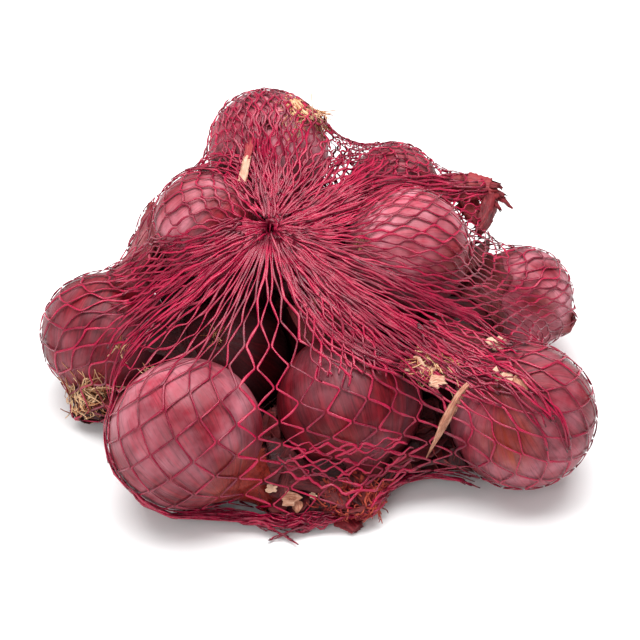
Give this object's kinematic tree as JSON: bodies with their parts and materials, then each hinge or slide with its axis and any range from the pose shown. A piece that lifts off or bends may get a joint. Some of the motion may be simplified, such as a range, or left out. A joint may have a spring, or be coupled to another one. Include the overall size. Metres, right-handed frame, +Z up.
{
  "type": "net bag of onions",
  "caption": "Red mesh net bag filled with red onions, lying on its side in a lumpy heap, with the net drawn together at its front and back ends.",
  "frame": {"origin": "on the surface the bag lies on, under the middle of its bounding box", "axes": "+X to the right along the bag's longest extent, -Y towards the side that shows the drawn-together end, +Z up"},
  "size_m": [0.2525, 0.1991, 0.1219],
  "materials": {
    "net_and_onions": "red open mesh net over glossy purple-red onion skin",
    "net": "glossy crimson-red extruded net strand",
    "onion_skin": "satin dry papery onion skin, veined, purple-red with pale sheen",
    "dry_skin": "matte dry papery straw-coloured skin and neck",
    "roots": "matte dry straw-coloured root hairs"
  },
  "bodies": {
    "root": {"filled_net": "net_and_onions", "gather_front": "net", "gather_back": "net"}
  },
  "joints": []
}
